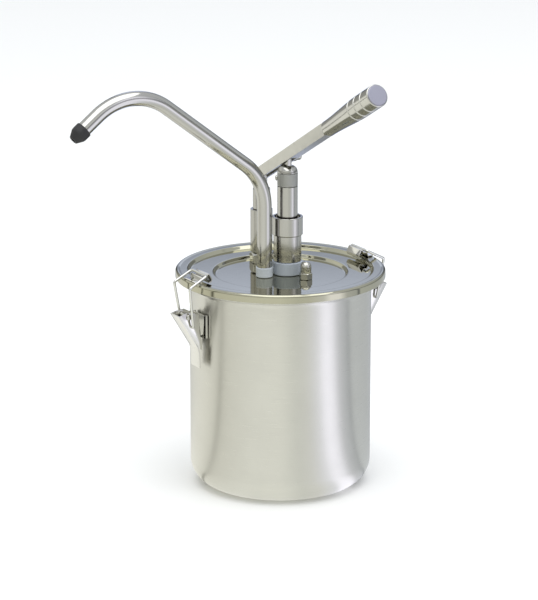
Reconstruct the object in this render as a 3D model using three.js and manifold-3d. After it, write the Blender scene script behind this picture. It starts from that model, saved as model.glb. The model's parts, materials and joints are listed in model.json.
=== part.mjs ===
// Lever-operated condiment pump on a round stainless can: spout, side lever, clamped lid.
// Millimetres, +Z up, origin at the centre of the can's base. The operator stands on the -Y
// side, the spout points to -X, and the two lid latches sit on -X and +X.
import * as THREE from "three";
import { mergeVertices } from "three/addons/utils/BufferGeometryUtils.js";
import Module from "manifold-3d";

const wasm = await Module();
wasm.setup();

// ---- Driving dimensions -------------------------------------------------------------
const GAP = 0.3; // play between neighbouring pieces
const RAD = Math.PI / 180;

// can
const CAN_R = 100; // outside of the can wall
const CAN_WALL = 1.2;
const CAN_CORNER = 27; // outside radius between base and wall
const CAN_FLARE_Z = 224.8; // where the wall starts to flare into the rim bead
const CAN_BEAD = { r: 110.6, z: 235, radius: 2.4 };

// lid
const SHEET = 1.2; // lid sheet thickness
const LID_R = 115.5; // outside of the rolled rim
const LID_TOP = 244; // top of the rim and of the flat ring inside it
const LID_SKIRT_Z = 234.6; // lower edge of the rolled rim
const LID_STEP_1 = { r: 101, z: 240 }; // foot of the outer step-down
const LID_STEP_2 = { r: 73, z: 236.5 }; // foot of the inner step-down
const DECK = LID_STEP_2.z; // top of the sunken middle, where the pump stands
const DECK_UNDER = DECK - SHEET;

// pump column
const PUMP = { x: 9, y: 0 };
const COLLAR = { r: 17, height: 14.5 };
const SLEEVE = { r: 15.4, bore: 13.4, top: 280.7 };
const GLAND = { r: 17, bore: 14, bottom: 281, top: 301.3 };
const BUSH = { r: 13.6, bore: 11.7, top: 296 };
const BARREL = { r: 13, bore: 11.7, bottom: 66.3, top: 280.6 };
const PISTON_TUBE = { r: 11.25, bore: 9.5, bottom: 240, top: 335.2 };
const BAND = { r: 11.3, bottom: 335.5, top: 350 };
const DOME = { r: 11.25, top: 358.5, shoulder: 8 };
const TONGUE = { thick: 5.3, wide: 13 };
const ROD_R = 3.5;
const ROD_END = 6; // length of rod screwed into the piston head
const SET_SCREW = { z: 344, headR: 3.2, headHeight: 2.2, shankR: 1.6, tip: 8.9 };
const SCREW_TURN = 59 * RAD; // direction of the set screw, from +Y towards -X
const SPRING = { bottom: 132.3, top: 239.7, r: 9.6, wire: 1.8, turns: 10 };
const SPRING_SEAT = { bottom: 126, top: 132 };
const PISTON_HEAD = { bottom: 106, top: 116, r: 11.2, grooveR: 9, grooveFrom: 108, grooveTo: 113 };
const FOOT = { bottom: 30, top: 66, r: 17, branchR: 10.5 };
const INLET = { bore: 5, ballR: 6.5, ballZ: 46, chamberR: 7.2 };
const OUTLET = { bore: 4, ballR: 5, ballZ: 50, chamberR: 5.7 };
const STRAINER = { r: 12.5, bore: 10.8, height: 12, floor: 2.4, slot: 3 };

// spout
const SPOUT = { x: -20.5, y: 0, r: 8, bore: 6.5, bottom: 218, rise: 37.5, slope: 37.5 };
const SPOUT_CORNERS = [[-20.5, 346.7], [-183, 471.2]]; // where its straight runs would meet
const SPOUT_BEND = { lower: 62, upper: 68 };
const SPOUT_LAST_RUN = 78; // from the upper corner to the tube's end
const SPOUT_COLLAR = { r: 9.2, height: 11.2 };
const NOZZLE = { r: 9.3, tip: 4.8, length: 17, over: 6, bore: 3 };

// under-lid plate, studs and nuts
const PLATE = { bottom: 226.4, top: 235 };
const STUD_R = 4;
const CAP_NUTS = [["front", 13, -32], ["rear", 13, 27]];
const CAP_NUT = { flats: 13, hexHeight: 7, height: 19.5 };

// lever post
const POST = { x: 9, y: 55.5 };
const POST_NUT = { flats: 24, height: 12 };
const POST_LOWER = { r: 12.4, bore: 6.5, top: 297.7 };
const POST_BOLT_R = 5.9;
const POST_UPPER = { r: 9.7, bottom: 298, top: 322 };
const POST_TONGUE = { thick: 7, wide: 14 };

// lever
const PIVOT_Z = 337.5;
const LEVER_TILT = 29.3; // degrees above level at rest
const BAR = { wide: 13, rearHeight: 12, frontHeight: 13.6, rear: -9, front: 158 };
const BAR_CHANNEL = { wide: 7.8, end: 76, roof: 2, forkEnd: 15 };
const PIN_SLOT = { from: 55.2, to: 63.6, centre: -1.25, half: 3.4 };
const PIN_R = 2.5;
const PIN_HEAD = { r: 5, thick: 3 };
const PIN_KNOB = { r: 4.3, length: 7 };
const PIN_Z = PIVOT_Z + 29.25; // piston pin at rest
const GRIP = { from: 158.3, to: 268, rSmall: 9, rLarge: 12.7, bore: 4.8 };
const GRIP_GROOVES = [16, 30, 44]; // distance of each groove from the grip's end
const END_DISC = { r: 11.6, thick: 2.2 };

// latches, in a frame whose +X points away from the can
const RIVET = { x: 121.5, z: 207 };
const BAIL_EYE = { x: 118, z: 195.6 };
const BAIL = { wire: 1.5, eyeY: 13, shoulderY: 17, hookY: 16, shoulder: [124.5, 241] };
const BAIL_HOOK = [102.6, 252.2]; // where its crosspiece lies over the keeper
const LATCH_HALF = 9.5; // half width of the latch lever
const LATCH_SHEET = 1.2;
const EAR = { y: 6.6, thick: 1.2 };

// ---- Geometry helpers -----------------------------------------------------------------
function weld(geometry) {
  // one indexed triangle mesh, position only, no collapsed triangles, faces pointing out
  let g = geometry.index ? geometry.clone() : geometry;
  for (const name of Object.keys(g.attributes)) if (name !== "position") g.deleteAttribute(name);
  g = mergeVertices(g, 1e-4);
  const position = g.attributes.position;
  const index = g.index.array;
  const kept = [];
  let volume = 0;
  const [a, b, c] = [new THREE.Vector3(), new THREE.Vector3(), new THREE.Vector3()];
  for (let i = 0; i < index.length; i += 3) {
    const [p, q, r] = [index[i], index[i + 1], index[i + 2]];
    if (p === q || q === r || r === p) continue;
    kept.push(p, q, r);
    a.fromBufferAttribute(position, p);
    b.fromBufferAttribute(position, q);
    c.fromBufferAttribute(position, r);
    volume += a.dot(b.cross(c));
  }
  if (volume < 0) {
    for (let i = 0; i < kept.length; i += 3) [kept[i], kept[i + 1]] = [kept[i + 1], kept[i]];
  }
  g.setIndex(kept);
  return g;
}

function toSolid(geometry) {
  const g = weld(geometry);
  const vertProperties = new Float32Array(g.attributes.position.array);
  const triVerts = new Uint32Array(g.index.array);
  return new wasm.Manifold(new wasm.Mesh({ numProp: 3, vertProperties, triVerts }));
}

function toGeometry(solid) {
  const mesh = solid.getMesh();
  const g = new THREE.BufferGeometry();
  g.setAttribute("position", new THREE.BufferAttribute(new Float32Array(mesh.vertProperties), 3));
  g.setIndex(new THREE.BufferAttribute(new Uint32Array(mesh.triVerts), 1));
  return g;
}

function cut(base, ...tools) {
  return toGeometry(tools.reduce((rest, tool) => rest.subtract(toSolid(tool)), toSolid(base)));
}

function join(base, ...others) {
  return toGeometry(others.reduce((all, other) => all.add(toSolid(other)), toSolid(base)));
}

// A body of revolution about a vertical line through (x, y); profile is [radius, z] pairs.
function turned(profile, { x = 0, y = 0, segments = 24 } = {}) {
  const g = new THREE.LatheGeometry(profile.map(([r, z]) => new THREE.Vector2(r, z)), segments);
  return g.rotateX(Math.PI / 2).translate(x, y, 0);
}

function ring(outer, inner, z0, z1, place = {}) {
  return turned([[inner, z0], [outer, z0], [outer, z1], [inner, z1], [inner, z0]], place);
}

function rod(r, z0, z1, place = {}) {
  return turned([[0, z0], [r, z0], [r, z1], [0, z1]], place);
}

function crossRod(r, x0, x1, y, z, segments = 24) {
  return rod(r, x0, x1, { segments }).rotateY(Math.PI / 2).translate(0, y, z);
}

function block(x0, x1, y0, y1, z0, z1) {
  const g = new THREE.BoxGeometry(x1 - x0, y1 - y0, z1 - z0);
  return g.translate((x0 + x1) / 2, (y0 + y1) / 2, (z0 + z1) / 2);
}

function hexagon(flats, z0, z1, { x = 0, y = 0, turn = 0 } = {}) {
  const g = new THREE.CylinderGeometry(flats / Math.sqrt(3), flats / Math.sqrt(3), z1 - z0, 6);
  return g.rotateX(Math.PI / 2).rotateZ(turn).translate(x, y, (z0 + z1) / 2);
}

// Points of an arc in the profile plane, from angle a0 to a1 in degrees.
function arc(cx, cz, r, a0, a1, steps) {
  return Array.from({ length: steps + 1 }, (_, i) => {
    const a = (a0 + ((a1 - a0) * i) / steps) * RAD;
    return [cx + r * Math.cos(a), cz + r * Math.sin(a)];
  });
}

// A route of straight runs with rounded corners; corners are Vector3, radii one per corner.
function roundedRoute(points, radii) {
  const route = new THREE.CurvePath();
  let from = points[0];
  for (let i = 1; i < points.length - 1; i++) {
    const into = points[i].clone().sub(points[i - 1]).normalize();
    const out = points[i + 1].clone().sub(points[i]).normalize();
    const turn = into.angleTo(out);
    const back = radii[i - 1] * Math.tan(turn / 2);
    const start = points[i].clone().addScaledVector(into, -back);
    const end = points[i].clone().addScaledVector(out, back);
    const side = out.clone().addScaledVector(into, -out.dot(into)).normalize();
    const centre = start.clone().addScaledVector(side, radii[i - 1]);
    route.add(new THREE.LineCurve3(from, start));
    const pieces = Math.max(3, Math.ceil(turn / (15 * RAD)));
    let last = start;
    for (let k = 1; k <= pieces; k++) {
      const a = (turn * k) / pieces;
      const next = centre.clone()
        .addScaledVector(side, -radii[i - 1] * Math.cos(a))
        .addScaledVector(into, radii[i - 1] * Math.sin(a));
      route.add(new THREE.LineCurve3(last, k === pieces ? end : next));
      last = k === pieces ? end : next;
    }
    from = end;
  }
  route.add(new THREE.LineCurve3(from, points[points.length - 1]));
  return route;
}

function circleShape(r, sides, bore = 0, boreSides = sides) {
  const corner = (radius, n) => Array.from({ length: n }, (_, i) => {
    const a = (2 * Math.PI * i) / n;
    return new THREE.Vector2(radius * Math.cos(a), radius * Math.sin(a));
  });
  const shape = new THREE.Shape(corner(r, sides));
  if (bore > 0) shape.holes.push(new THREE.Path(corner(bore, boreSides).reverse()));
  return shape;
}

function along(route, shape, steps) {
  return new THREE.ExtrudeGeometry(shape, { steps, extrudePath: route, bevelEnabled: false });
}

function slab(outline, z0, z1, holes = []) {
  const shape = new THREE.Shape(outline.map(([x, y]) => new THREE.Vector2(x, y)));
  for (const [x, y, r] of holes) {
    const hole = new THREE.Path();
    hole.absarc(x, y, r, 0, 2 * Math.PI, true);
    shape.holes.push(hole);
  }
  const g = new THREE.ExtrudeGeometry(shape, {
    depth: z1 - z0, bevelEnabled: false, curveSegments: 14,
  });
  return g.translate(0, 0, z0);
}

// A sheet strip: an open centre line in the X-Z plane, given a thickness and a width in Y.
function strip(line, thickness, width) {
  const points = line.map(([x, z]) => new THREE.Vector2(x, z));
  const left = [];
  const right = [];
  points.forEach((p, i) => {
    const before = points[Math.max(i - 1, 0)];
    const after = points[Math.min(i + 1, points.length - 1)];
    const n = after.clone().sub(before).normalize();
    left.push([p.x - (n.y * thickness) / 2, p.y + (n.x * thickness) / 2]);
    right.push([p.x + (n.y * thickness) / 2, p.y - (n.x * thickness) / 2]);
  });
  return slab([...left, ...right.reverse()], -width / 2, width / 2).rotateX(Math.PI / 2);
}

const FINISH = {
  satin: { color: 0xc9c9c4, roughness: 0.38, metalness: 1 },
  polished: { color: 0xd6d6d4, roughness: 0.12, metalness: 1 },
  greyPlastic: { color: 0x9aa5a9, roughness: 0.6, metalness: 0 },
  whitePlastic: { color: 0xe6e4dc, roughness: 0.5, metalness: 0 },
  rubber: { color: 0x1d1d1f, roughness: 0.7, metalness: 0 },
  seal: { color: 0xb9b4a8, roughness: 0.7, metalness: 0 },
  knurl: { color: 0x868b8a, roughness: 0.55, metalness: 0.8 },
  disc: { color: 0x9c9cb2, roughness: 0.45, metalness: 0.7 },
};

function piece(name, geometry, finish) {
  const mesh = new THREE.Mesh(weld(geometry), new THREE.MeshStandardMaterial(FINISH[finish]));
  mesh.name = name;
  return mesh;
}

// ---- Can --------------------------------------------------------------------------------
function canShell() {
  const inner = CAN_CORNER - CAN_WALL;
  const centre = CAN_R - CAN_CORNER;
  const bead = CAN_BEAD;
  const flare = 8;
  const outside = [
    [0, 0],
    ...arc(centre, CAN_CORNER, CAN_CORNER, -90, 0, 6),
    [CAN_R, CAN_FLARE_Z],
    ...arc(CAN_R + flare, CAN_FLARE_Z, flare, 180, 110, 3).slice(1),
    ...arc(bead.r, bead.z, bead.radius, -110, 180, 5),
  ];
  const inside = [
    ...arc(CAN_R + flare, CAN_FLARE_Z, flare + CAN_WALL, 110, 180, 3).slice(1),
    [CAN_R - CAN_WALL, CAN_CORNER],
    ...arc(centre, CAN_CORNER, inner, 0, -90, 6).slice(1),
    [0, CAN_WALL],
  ];
  return turned([...outside, ...inside], { segments: 48 });
}

// ---- Lid --------------------------------------------------------------------------------
function lidShell() {
  const { r: r1, z: z1 } = LID_STEP_1;
  const { r: r2, z: z2 } = LID_STEP_2;
  const slope = 1.4; // each step-down leans in by this much
  const roll = 3.2;
  const topSide = [
    [0, z2], [r2 - slope, z2], [r2, z2 + slope * 0.6], [r2 + slope, z1],
    [r1 - slope, z1], [r1, z1 + slope * 0.6], [r1 + slope, LID_TOP],
    ...arc(LID_R - roll, LID_TOP - roll, roll, 90, 0, 3),
    [LID_R, LID_SKIRT_Z + 1], [LID_R - 1, LID_SKIRT_Z],
  ];
  const underSide = [
    [LID_R - 2, LID_SKIRT_Z + 0.4], [LID_R - SHEET - 0.2, LID_SKIRT_Z + 2],
    ...arc(LID_R - roll, LID_TOP - roll, roll - SHEET, 0, 90, 3),
    [r1 + slope + 0.9, LID_TOP - SHEET], [r1 + 1.2, z1 + 0.3], [r1 - slope + 0.5, z1 - SHEET],
    [r2 + slope + 0.9, z1 - SHEET], [r2 + 1.2, z2 + 0.3], [r2 - slope + 0.5, z2 - SHEET],
    [0, z2 - SHEET],
  ];
  const holes = [
    rod(BARREL.r + GAP, DECK - 5, DECK + 5, PUMP),
    rod(SPOUT.r + GAP, DECK - 5, DECK + 5, SPOUT),
    rod(POST_BOLT_R + 0.4, DECK - 5, DECK + 5, POST),
    ...CAP_NUTS.map(([, x, y]) => rod(STUD_R + GAP, DECK - 5, DECK + 5, { x, y })),
  ];
  return cut(turned([...topSide, ...underSide], { segments: 48 }), ...holes);
}

function lidGasket() {
  // sits in the rim's channel and is squeezed by the can's bead
  const top = LID_TOP - SHEET - GAP;
  const bottom = CAN_BEAD.z + CAN_BEAD.radius + GAP;
  return ring(LID_R - 5.2, LID_STEP_1.r + 3.5, bottom, top, { segments: 48 });
}

// ---- Pump head --------------------------------------------------------------------------
function plateOutline() {
  // convex outline round four bosses: rear stud, front stud, barrel and spout
  const bosses = [[13, 27, 10], [-20.5, 0, 14], [13, -32, 10], [9, 0, 22]];
  const points = [];
  for (let a = 0; a < 360; a += 10) {
    const [cx, cy] = [Math.cos(a * RAD), Math.sin(a * RAD)];
    let best = null;
    for (const [x, y, r] of bosses) {
      const reach = x * cx + y * cy + r;
      if (!best || reach > best.reach) best = { reach, point: [x + r * cx, y + r * cy] };
    }
    points.push(best.point);
  }
  return points;
}

function capNut(x, y) {
  const base = DECK + GAP;
  const hex = hexagon(CAP_NUT.flats, base, base + CAP_NUT.hexHeight, { x, y, turn: 0.2 });
  const domeR = CAP_NUT.flats / 2 - 0.4;
  const spring = base + CAP_NUT.height - domeR;
  const cap = turned(
    [[0, base + 3], [domeR, base + 3], ...arc(0, spring, domeR, 0, 90, 6)], { x, y, segments: 24 });
  return cut(join(hex, cap), rod(STUD_R + GAP, base - 1, base + 8.6, { x, y, segments: 20 }));
}

function gland() {
  // threaded ring on top of the sleeve, open at the top, with an inward flange at the bottom
  const { r, bore, bottom, top } = GLAND;
  return turned([
    [BUSH.bore + 2.5, bottom], [r, bottom], [r, top - 0.8], [r - 0.8, top], [bore + 0.4, top],
    [bore, top - 0.5], [bore, bottom + 2], [BUSH.bore + 2.5, bottom + 2],
    [BUSH.bore + 2.5, bottom],
  ], PUMP);
}

function guideBush() {
  return ring(BUSH.r, BUSH.bore, GLAND.bottom + 2 + GAP, BUSH.top, PUMP);
}

function domeHead() {
  // hollow cap with a lug on top for the lever pin
  const { r, top, shoulder } = DOME;
  const bottom = BAND.top + GAP;
  const cap = turned([
    [0, bottom], [r, bottom], [r, top - shoulder],
    ...arc(r - shoulder, top - shoulder, shoulder, 0, 90, 7).slice(1), [0, top],
  ], PUMP);
  const half = TONGUE.thick / 2;
  const lug = join(
    block(PUMP.x - half, PUMP.x + half, -TONGUE.wide / 2 + 2.2, TONGUE.wide / 2 - 2.2, top - 3, PIN_Z),
    crossRod(4.3, PUMP.x - half, PUMP.x + half, 0, PIN_Z));
  const pinHole = crossRod(PIN_R + GAP, PUMP.x - 10, PUMP.x + 10, 0, PIN_Z);
  const spigot = rod(8.2, PISTON_TUBE.top + GAP, bottom + 1, PUMP);
  const thread = rod(ROD_R + GAP, PISTON_TUBE.top - 1, top - 4, PUMP);
  return cut(join(cap, lug, spigot), pinHole, thread);
}

function setScrew() {
  // short domed screw through the band, on its spout side
  const { z, headR, headHeight, shankR, tip } = SET_SCREW;
  const seat = BAND.r + GAP;
  const dome = arc(0, 0, 1, 15, 90, 4).map(([r, h]) => [r * headR, seat + h * headHeight]);
  const g = turned([[0, tip], [shankR, tip], [shankR, seat], [headR, seat], ...dome], { segments: 20 });
  return g.rotateX(-Math.PI / 2).rotateZ(SCREW_TURN).translate(PUMP.x, PUMP.y, z);
}

function band() {
  const body = ring(BAND.r, 8.5, BAND.bottom, BAND.top, PUMP);
  const hole = rod(SET_SCREW.shankR + GAP, 6, 14, { segments: 16 }).rotateX(-Math.PI / 2)
    .rotateZ(SCREW_TURN).translate(PUMP.x, PUMP.y, SET_SCREW.z);
  return cut(body, hole);
}

function pistonHead() {
  // grooved disc on the rod's end; the seal sits in the groove
  const { bottom, top, r, grooveR, grooveFrom, grooveTo } = PISTON_HEAD;
  const disc = turned([
    [0, bottom], [r, bottom], [r, grooveFrom], [grooveR, grooveFrom], [grooveR, grooveTo],
    [r, grooveTo], [r, top], [0, top],
  ], PUMP);
  return cut(disc, rod(ROD_R + GAP, top - ROD_END - GAP, top + 1, PUMP));
}

function leverPin() {
  // shoulder screw through the dome's lug; its head lies beside the lever bar
  const seat = PUMP.x + BAR.wide / 2 + GAP;
  return join(
    crossRod(PIN_R, PUMP.x - BAR.wide / 2 + 1.6, seat + 1, 0, PIN_Z),
    crossRod(PIN_HEAD.r, seat, seat + PIN_HEAD.thick, 0, PIN_Z),
    crossRod(PIN_KNOB.r, seat + PIN_HEAD.thick - 1, seat + PIN_HEAD.thick + PIN_KNOB.length, 0, PIN_Z));
}

function returnSpring() {
  const { bottom, top, r, wire, turns } = SPRING;
  class Coil extends THREE.Curve {
    getPoint(t, target = new THREE.Vector3()) {
      const a = 2 * Math.PI * turns * t;
      const z = bottom + wire / 2 + (top - bottom - wire) * t;
      return target.set(PUMP.x + (r - wire / 2) * Math.cos(a), (r - wire / 2) * Math.sin(a), z);
    }
  }
  return along(new Coil(), circleShape(wire / 2, 5), turns * 10);
}

// ---- Foot valve -------------------------------------------------------------------------
function footBlock() {
  const { bottom, top, r, branchR } = FOOT;
  const body = join(
    rod(r, bottom, top, PUMP),
    rod(branchR, bottom + 8, top, SPOUT),
    block(SPOUT.x, PUMP.x, -branchR + 1, branchR - 1, bottom + 8, top - 6));
  const crossBore = rod(3.2, SPOUT.x, PUMP.x, { segments: 20 }).rotateY(Math.PI / 2)
    .translate(0, 0, top - 6.5);
  return cut(body,
    rod(INLET.chamberR, INLET.ballZ - 7.2, top + 1, PUMP),
    rod(INLET.bore, bottom - 1, top, PUMP),
    rod(OUTLET.chamberR, OUTLET.ballZ - 5.6, top + 1, SPOUT),
    crossBore);
}

function ball(r, z, { x, y }) {
  return new THREE.SphereGeometry(r, 14, 8).rotateX(Math.PI / 2).translate(x, y, z);
}

function strainer() {
  // slotted cup pressed under the foot
  const { r, bore, height, floor, slot } = STRAINER;
  const top = FOOT.bottom - GAP;
  const bottom = top - height;
  const cup = turned([
    [0, bottom], [r - 1.5, bottom], [r, bottom + 2], [r, top], [bore, top],
    [bore, bottom + floor], [0, bottom + floor],
  ], PUMP);
  const slots = [0, 60, 120].map((deg) => block(-16, 16, -slot / 2, slot / 2, top - 8, top - 2.5)
    .rotateZ(deg * RAD).translate(PUMP.x, PUMP.y, 0));
  return cut(cup, ...slots);
}

// ---- Spout ------------------------------------------------------------------------------
const [LOWER_CORNER, UPPER_CORNER] = SPOUT_CORNERS;
const SPOUT_END = [
  UPPER_CORNER[0] - SPOUT_LAST_RUN * Math.cos(SPOUT.slope * RAD),
  UPPER_CORNER[1] - SPOUT_LAST_RUN * Math.sin(SPOUT.slope * RAD),
];

function spoutRoute() {
  const at = ([x, z]) => new THREE.Vector3(x, SPOUT.y, z);
  return roundedRoute(
    [at([SPOUT.x, SPOUT.bottom]), at(LOWER_CORNER), at(UPPER_CORNER), at(SPOUT_END)],
    [SPOUT_BEND.lower, SPOUT_BEND.upper]);
}

function nozzle() {
  // rubber tip pushed over the tube's end, tapering with a rounded shoulder
  const { r, tip, length, over, bore } = NOZZLE;
  const profile = [
    [bore, -length + over], [tip, -length + over], [r - 0.8, -4], [r, -1.6], [r, over],
    [SPOUT.r + GAP, over], [SPOUT.r + GAP, -GAP], [bore, -GAP], [bore, -length + over],
  ];
  const g = turned(profile, { segments: 28 });
  return g.rotateY((90 - SPOUT.slope) * RAD).translate(SPOUT_END[0], 0, SPOUT_END[1]);
}

// ---- Lever post -------------------------------------------------------------------------
function postNut() {
  const z0 = DECK + GAP;
  const z1 = z0 + POST_NUT.height;
  const corner = POST_NUT.flats / Math.sqrt(3);
  const hex = toSolid(hexagon(POST_NUT.flats, z0, z1, { ...POST, turn: 0.3 }));
  const cone = toSolid(turned(
    [[0, z0], [corner + 1, z0], [corner + 1, z1 - 3.4], [corner - 3.2, z1], [0, z1]], POST));
  return cut(toGeometry(hex.intersect(cone)), rod(POST_BOLT_R + 0.4, z0 - 1, z1 + 1, POST));
}

function postUpper() {
  const { r, bottom, top } = POST_UPPER;
  const tube = turned([[0, bottom], [r, bottom], [r, top - 2], [r - 2, top], [0, top]], POST);
  const half = POST_TONGUE.thick / 2;
  const wide = POST_TONGUE.wide / 2;
  const [x0, x1] = [POST.x - half, POST.x + half];
  const tongue = join(
    block(x0, x1, POST.y - wide, POST.y + wide, top - 4, PIVOT_Z - 1),
    crossRod(wide, x0, x1, POST.y, PIVOT_Z - 1, 32));
  const pinHole = crossRod(PIN_R + 0.5 + GAP, x0 - 1, x1 + 1, POST.y, PIVOT_Z);
  return cut(join(tube, tongue), pinHole, rod(5, bottom - 1, bottom + 12, POST));
}

function postBolt() {
  // threaded stud that pulls the post down on the lid, with a hex head below
  const head = hexagon(17, DECK_UNDER - GAP - 7, DECK_UNDER - GAP, POST);
  return join(head, rod(POST_BOLT_R, DECK_UNDER - GAP - 3, DECK + GAP + POST_NUT.height - 1, POST));
}

// ---- Lever, built level in its own frame: pivot at the origin, grip towards -Y --------------
function leverBar() {
  const { wide, rearHeight, frontHeight, rear, front } = BAR;
  const sideView = new THREE.Shape();
  sideView.moveTo(-rear - 4, -rearHeight / 2);
  sideView.lineTo(-front, -frontHeight / 2);
  sideView.lineTo(-front, frontHeight / 2);
  sideView.lineTo(-rear - 4, rearHeight / 2);
  sideView.absarc(-rear - rearHeight / 2 - 0.001, 0, rearHeight / 2, Math.PI / 2, -Math.PI / 2, true);
  const bar = new THREE.ExtrudeGeometry(sideView, { depth: wide, bevelEnabled: false, curveSegments: 10 })
    .rotateY(-Math.PI / 2).rotateX(-Math.PI / 2); // shape x -> Y, shape y -> Z, depth -> X
  bar.computeBoundingBox();
  const box = bar.boundingBox;
  bar.translate(-(box.min.x + box.max.x) / 2, 0, 0);
  const half = BAR_CHANNEL.wide / 2;
  const channel = block(-half, half, -BAR_CHANNEL.end, 20, -12, rearHeight / 2 - BAR_CHANNEL.roof);
  const fork = block(-half, half, -BAR_CHANNEL.forkEnd, 20, -12, 12);
  const slot = join(
    crossRod(PIN_SLOT.half, -wide / 2 + 1.2, 12, -PIN_SLOT.from, PIN_SLOT.centre),
    crossRod(PIN_SLOT.half, -wide / 2 + 1.2, 12, -PIN_SLOT.to, PIN_SLOT.centre),
    block(-wide / 2 + 1.2, 12, -PIN_SLOT.to, -PIN_SLOT.from,
      PIN_SLOT.centre - PIN_SLOT.half, PIN_SLOT.centre + PIN_SLOT.half));
  const pivotHole = crossRod(PIN_R + 0.5 + GAP, -12, 12, 0, 0);
  const tang = rod(GRIP.bore - GAP, front - 1, front + 60, { segments: 20 }).rotateX(Math.PI / 2);
  return join(cut(bar, channel, fork, slot, pivotHole), tang);
}

function gripProfile() {
  const { from, to, rSmall, rLarge } = GRIP;
  const swell = (d) => {
    const t = Math.min(1, (d - from) / (0.72 * (to - from)));
    return rSmall + (rLarge - rSmall) * t * t * (3 - 2 * t);
  };
  const outline = [[swell(from) - 1.2, from]];
  for (let d = from + 1.5; d < to - 50; d += 12) outline.push([swell(d), d]);
  for (const g of [...GRIP_GROOVES].reverse()) {
    const d = to - g;
    outline.push([swell(d), d - 1], [swell(d) - 0.8, d - 0.5], [swell(d) - 0.8, d + 0.5],
      [swell(d), d + 1]);
  }
  outline.push([rLarge, to - 1], [rLarge - 0.8, to]);
  return outline;
}

function grip() {
  const { from, to, bore } = GRIP;
  const seat = to - END_DISC.thick - 0.1;
  const profile = [
    [bore, from], ...gripProfile(), [END_DISC.r + GAP, to], [END_DISC.r + GAP, seat], [0, seat],
    [0, from + 62], [bore, from + 62], [bore, from],
  ];
  return turned(profile, { segments: 24 }).rotateX(Math.PI / 2);
}

function endDisc() {
  const z0 = GRIP.to - END_DISC.thick + GAP;
  return turned([[0, z0], [END_DISC.r, z0], [END_DISC.r, GRIP.to + 0.4], [END_DISC.r - 0.8, GRIP.to + 1.1],
    [0, GRIP.to + 1.1]], { segments: 24 }).rotateX(Math.PI / 2);
}

function pivotPin() {
  const reach = BAR.wide / 2 + GAP;
  const head = (side) => crossRod(4.4, Math.min(side * reach, side * (reach + 1.8)),
    Math.max(side * reach, side * (reach + 1.8)), 0, 0);
  return join(crossRod(PIN_R + 0.5, -reach - 1, reach + 1, 0, 0), head(1), head(-1));
}

// ---- Latch, in a frame whose +X points away from the can ----------------------------------
function latchBracket() {
  // tray spot-welded to the can wall, with two ears that carry the rivet
  const [back, front] = [102.6, 104];
  const [z0, z1] = [181, 207];
  const wall = Math.sqrt(CAN_R ** 2 - 13 ** 2) + 1.1;
  const earShape = (y) => {
    const outline = [[front - 1, z0 + 3], [front + 3, z0 + 3], [RIVET.x + 2, RIVET.z - 4.6],
      ...arc(RIVET.x, RIVET.z, 4.6, -60, 120, 6), [front + 3, z1 + 1], [front - 1, z1 - 1]];
    const depth = EAR.thick;
    return slab(outline, 0, depth).rotateX(Math.PI / 2).translate(0, y + depth / 2, 0);
  };
  const tray = join(
    block(back, front, -13, 13, z0, z1),
    block(wall, front, -13, -11.8, z0, z1),
    block(wall, front, 11.8, 13, z0, z1));
  const rivetHole = rod(PIN_R + GAP, -20, 20, { segments: 20 }).rotateX(Math.PI / 2)
    .translate(RIVET.x, 0, RIVET.z);
  return cut(join(tray, earShape(EAR.y), earShape(-EAR.y)), rivetHole);
}

function latchRivet() {
  const shaft = rod(PIN_R, -10.3, 10.3, { segments: 20 });
  const head = (s) => rod(3.2, Math.min(s * 9.8, s * 11.4), Math.max(s * 9.8, s * 11.4), { segments: 20 });
  return join(shaft, head(1), head(-1)).rotateX(Math.PI / 2).translate(RIVET.x, 0, RIVET.z);
}

function latchLever() {
  // folded channel: sloping front face, two triangular cheeks and a finger tab at its foot
  const t = LATCH_SHEET;
  const cheekLine = [[133.6, 209], [127, 211.4], [117, 211.8], [109, 207.4], [104.7, 167.4],
    [109.4, 169.5]];
  const cheek = (side) => slab(cheekLine, 0, t).rotateX(Math.PI / 2)
    .translate(0, side > 0 ? LATCH_HALF : -LATCH_HALF + t, 0);
  const face = strip([[133.6, 209.4], [110.2, 171.2], [108.3, 164], [107.8, 147.5]], t, 2 * LATCH_HALF);
  const tabEnds = [1, -1].map((side) => block(100, 112, -5, 5, -5, 5).rotateX(Math.PI / 4)
    .translate(0, side * (LATCH_HALF + 3.4), 147.5 - 3.4));
  const hole = (r, { x, z }) => rod(r, -20, 20, { segments: 20 }).rotateX(Math.PI / 2).translate(x, 0, z);
  return cut(join(face, cheek(1), cheek(-1)), hole(PIN_R + GAP, RIVET),
    hole(BAIL.wire + GAP, BAIL_EYE), ...tabEnds);
}

function bail() {
  const { wire, eyeY, shoulderY, hookY, shoulder } = BAIL;
  const half = [
    [BAIL_EYE.x, 7.9, BAIL_EYE.z], [BAIL_EYE.x, eyeY, BAIL_EYE.z],
    [shoulder[0], shoulderY, shoulder[1]], [BAIL_HOOK[0], hookY, BAIL_HOOK[1]],
  ];
  const points = [...half.map(([x, y, z]) => [x, -y, z]), ...half.reverse()]
    .map(([x, y, z]) => new THREE.Vector3(x, y, z));
  const route = roundedRoute(points, [2.2, 3, 2.6, 2.6, 3, 2.2]);
  return along(route, circleShape(wire, 6), 60);
}

function keeper() {
  // hook on the lid's flat ring: ledge under the bail, lip behind it, curled skirt inside
  const foot = LID_TOP + GAP + SHEET / 2;
  return strip([
    [113, foot], [107.2, foot], [106, foot + 1.2], [105.4, 248.2], [104.4, 249.1],
    [101.4, 249.3], [99.6, 250.4], [98.8, 252.8], [97.6, 253.6], [96.5, 253], [94.6, 247.5],
    [94.6, 245.2], [95.8, 243.9], [98, 243.6],
  ], SHEET, 25);
}

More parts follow.
